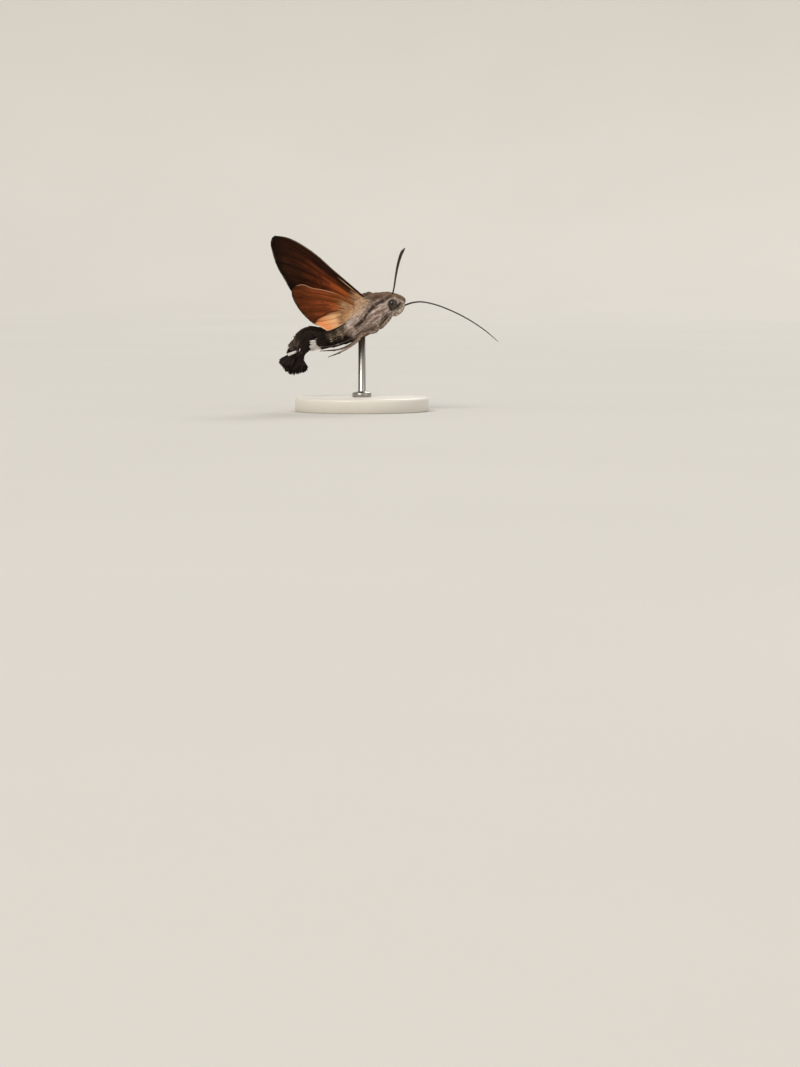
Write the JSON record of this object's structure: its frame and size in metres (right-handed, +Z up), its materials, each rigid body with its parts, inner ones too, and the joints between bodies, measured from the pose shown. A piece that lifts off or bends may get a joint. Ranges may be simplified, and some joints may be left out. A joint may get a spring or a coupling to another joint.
{
  "type": "hummingbird hawk moth",
  "caption": "Life-size still model of a hummingbird hawk moth hovering with raised wings and its long tongue out, held on a plain display stand.",
  "frame": {"origin": "centre of the underside of the stand's base, on the table", "axes": "+X the way the moth faces, +Y towards its left side, +Z up"},
  "size_m": [0.0474, 0.028, 0.0368],
  "materials": {
    "thorax_fur": "soft grey-brown fur, paler on the sides and chin",
    "abdomen_fur": "short dark brown scales with black and white side tufts",
    "tail_scales": "long black scales",
    "pale_scales": "dense short whitish scales",
    "eye": "glossy dark brown compound eye with fine facets",
    "forewing_scales": "matt powdery scales, dark brown with rust towards the root",
    "hindwing_scales": "matt powdery scales, rust orange with a darker margin",
    "leg_scales": "short grey-brown scales",
    "horn": "dark brown horn with a slight sheen",
    "rod_steel": "satin steel",
    "base_acrylic": "satin ivory acrylic"
  },
  "bodies": {
    "root": {"head": "thorax_fur", "thorax": "thorax_fur", "abdomen_front": "abdomen_fur", "abdomen_rear": "abdomen_fur", "tail_fan": "tail_scales", "proboscis": "horn", "eye_left": "eye", "eye_right": "eye", "palp_left": "pale_scales", "palp_right": "pale_scales", "antenna_left": "horn", "antenna_right": "horn", "forewing_left": "forewing_scales", "forewing_right": "forewing_scales", "hindwing_left": "hindwing_scales", "hindwing_right": "hindwing_scales", "foreleg_left": "leg_scales", "foreleg_right": "leg_scales", "midleg_left": "leg_scales", "midleg_right": "leg_scales", "hindleg_left": "leg_scales", "hindleg_right": "leg_scales", "stand_base": "base_acrylic", "stand_rod": "rod_steel"}
  },
  "joints": []
}
